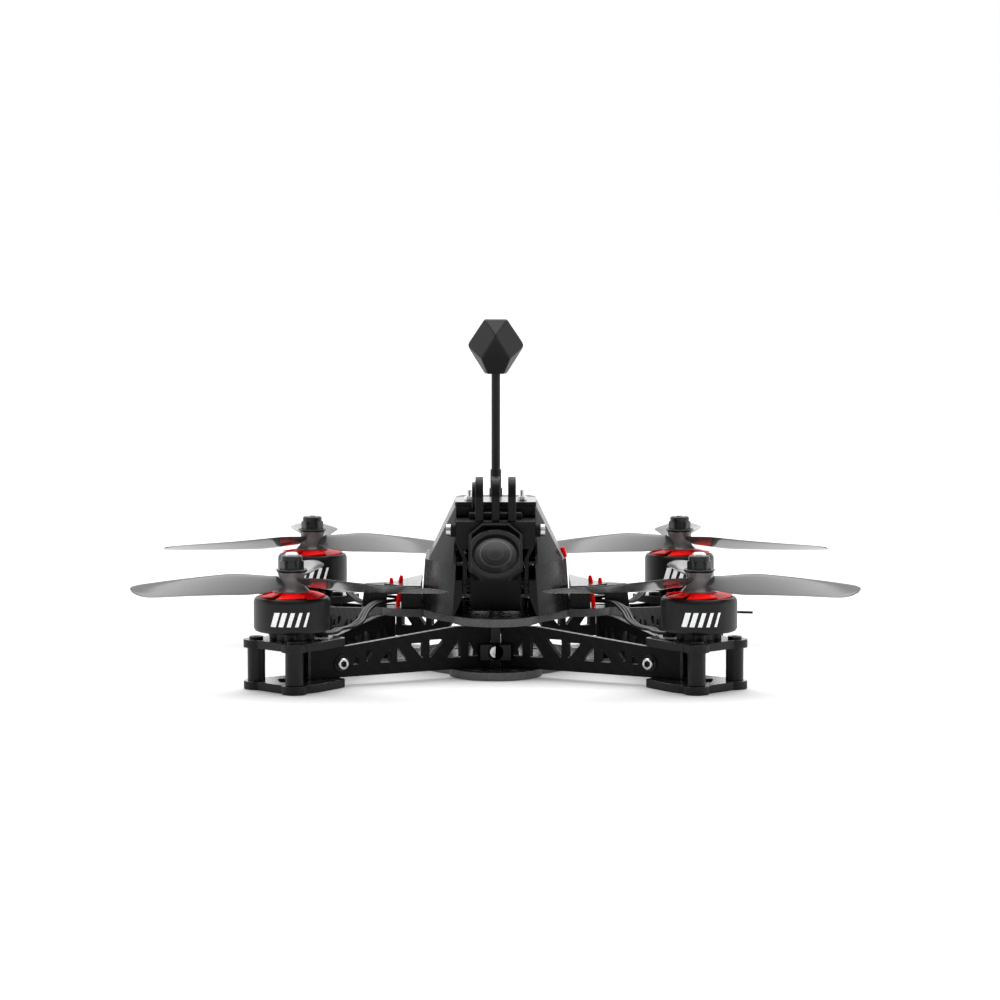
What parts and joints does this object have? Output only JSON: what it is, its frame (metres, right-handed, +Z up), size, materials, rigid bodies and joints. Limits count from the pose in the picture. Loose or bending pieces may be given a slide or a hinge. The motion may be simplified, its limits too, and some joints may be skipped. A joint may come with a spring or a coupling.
{
  "type": "fpv racing drone",
  "caption": "Small racing quadcopter with truss arms of upright carbon plates, a moulded pod with tilting camera, an action-camera mount and a mast antenna.",
  "frame": {"origin": "centre of the flat underside of the bottom plate, between the four motors", "axes": "+X to the right of the picture, -Y towards the nose and camera, +Z up along the motor shafts"},
  "size_m": [0.267, 0.2517, 0.132],
  "materials": {
    "carbon_plate": "glossy woven carbon fibre plate",
    "carbon_arm": "satin woven carbon fibre plate on edge",
    "black_anodised": "black anodised aluminium",
    "black_steel": "black oxide steel",
    "bright_steel": "bright stainless steel",
    "moulded_black": "matt moulded black plastic",
    "motor_metal": "satin dark grey anodised motor metal",
    "copper_wire": "enamelled copper wire",
    "red_anodised": "bright red anodised aluminium",
    "smoked_blade": "smoked translucent polycarbonate",
    "dark_nut": "dark grey anodised nut",
    "circuit_board": "solder-masked circuit board",
    "wire_sleeve": "black silicone wire and sleeve",
    "black_fitting": "black anodised coaxial connector",
    "antenna_plastic": "satin moulded black plastic",
    "camera_plastic": "fine matt black plastic",
    "lens_glass": "coated lens glass"
  },
  "bodies": {
    "airframe": {"bottom_plate": "carbon_plate", "mid_plate": "carbon_plate", "arm_plates_front_left": "carbon_arm", "arm_plates_front_right": "carbon_arm", "arm_plates_rear_left": "carbon_arm", "arm_plates_rear_right": "carbon_arm", "motor_mount_tops": "carbon_plate", "motor_mount_bottoms": "carbon_plate", "mount_standoffs": "black_anodised", "mount_screws": "black_steel", "arm_cross_bolts": "bright_steel", "vertex_blocks": "moulded_black", "vertex_bolts": "bright_steel", "motor_bases": "motor_metal", "motor_bearings": "bright_steel", "stator_cores": "motor_metal", "stator_windings": "copper_wire", "pod_side_left": "moulded_black", "pod_side_right": "moulded_black", "pod_top_plate": "carbon_plate", "pod_screws": "bright_steel", "side_wing_left": "moulded_black", "side_wing_right": "moulded_black", "side_decks": "carbon_plate", "red_bolts": "red_anodised", "action_mount": "moulded_black", "camera_cage": "moulded_black", "esc_board": "circuit_board", "flight_controller": "circuit_board", "video_transmitter": "circuit_board", "stack_standoffs": "black_anodised", "receiver_antenna": "wire_sleeve", "motor_wires": "wire_sleeve", "antenna_connector": "black_fitting", "antenna_mast": "antenna_plastic", "antenna_head": "antenna_plastic"},
    "rotor_front_left": {"motor_bell_front_left": "motor_metal", "bell_cap_front_left": "red_anodised", "motor_shaft_front_left": "bright_steel", "propeller_front_left": "smoked_blade", "prop_nut_front_left": "dark_nut"},
    "rotor_front_right": {"motor_bell_front_right": "motor_metal", "bell_cap_front_right": "red_anodised", "motor_shaft_front_right": "bright_steel", "propeller_front_right": "smoked_blade", "prop_nut_front_right": "dark_nut"},
    "rotor_rear_left": {"motor_bell_rear_left": "motor_metal", "bell_cap_rear_left": "red_anodised", "motor_shaft_rear_left": "bright_steel", "propeller_rear_left": "smoked_blade", "prop_nut_rear_left": "dark_nut"},
    "rotor_rear_right": {"motor_bell_rear_right": "motor_metal", "bell_cap_rear_right": "red_anodised", "motor_shaft_rear_right": "bright_steel", "propeller_rear_right": "smoked_blade", "prop_nut_rear_right": "dark_nut"},
    "camera": {"camera_body": "camera_plastic", "camera_lens": "camera_plastic", "camera_glass": "lens_glass", "camera_pivot_screws": "bright_steel"}
  },
  "joints": [
    {"name": "spin_front_left", "type": "hinge", "parent": "airframe", "child": "rotor_front_left", "pos_m": [-0.075, -0.075, 0.044], "axis": [0, 0, 1], "continuous": true},
    {"name": "spin_front_right", "type": "hinge", "parent": "airframe", "child": "rotor_front_right", "pos_m": [0.075, -0.075, 0.044], "axis": [0, 0, 1], "continuous": true},
    {"name": "spin_rear_left", "type": "hinge", "parent": "airframe", "child": "rotor_rear_left", "pos_m": [-0.075, 0.075, 0.044], "axis": [0, 0, 1], "continuous": true},
    {"name": "spin_rear_right", "type": "hinge", "parent": "airframe", "child": "rotor_rear_right", "pos_m": [0.075, 0.075, 0.044], "axis": [0, 0, 1], "continuous": true},
    {"name": "camera_tilt", "type": "hinge", "parent": "airframe", "child": "camera", "pos_m": [0, -0.03445, 0.03389], "axis": [1, 0, 0], "range_deg": [0, 30]}
  ]
}
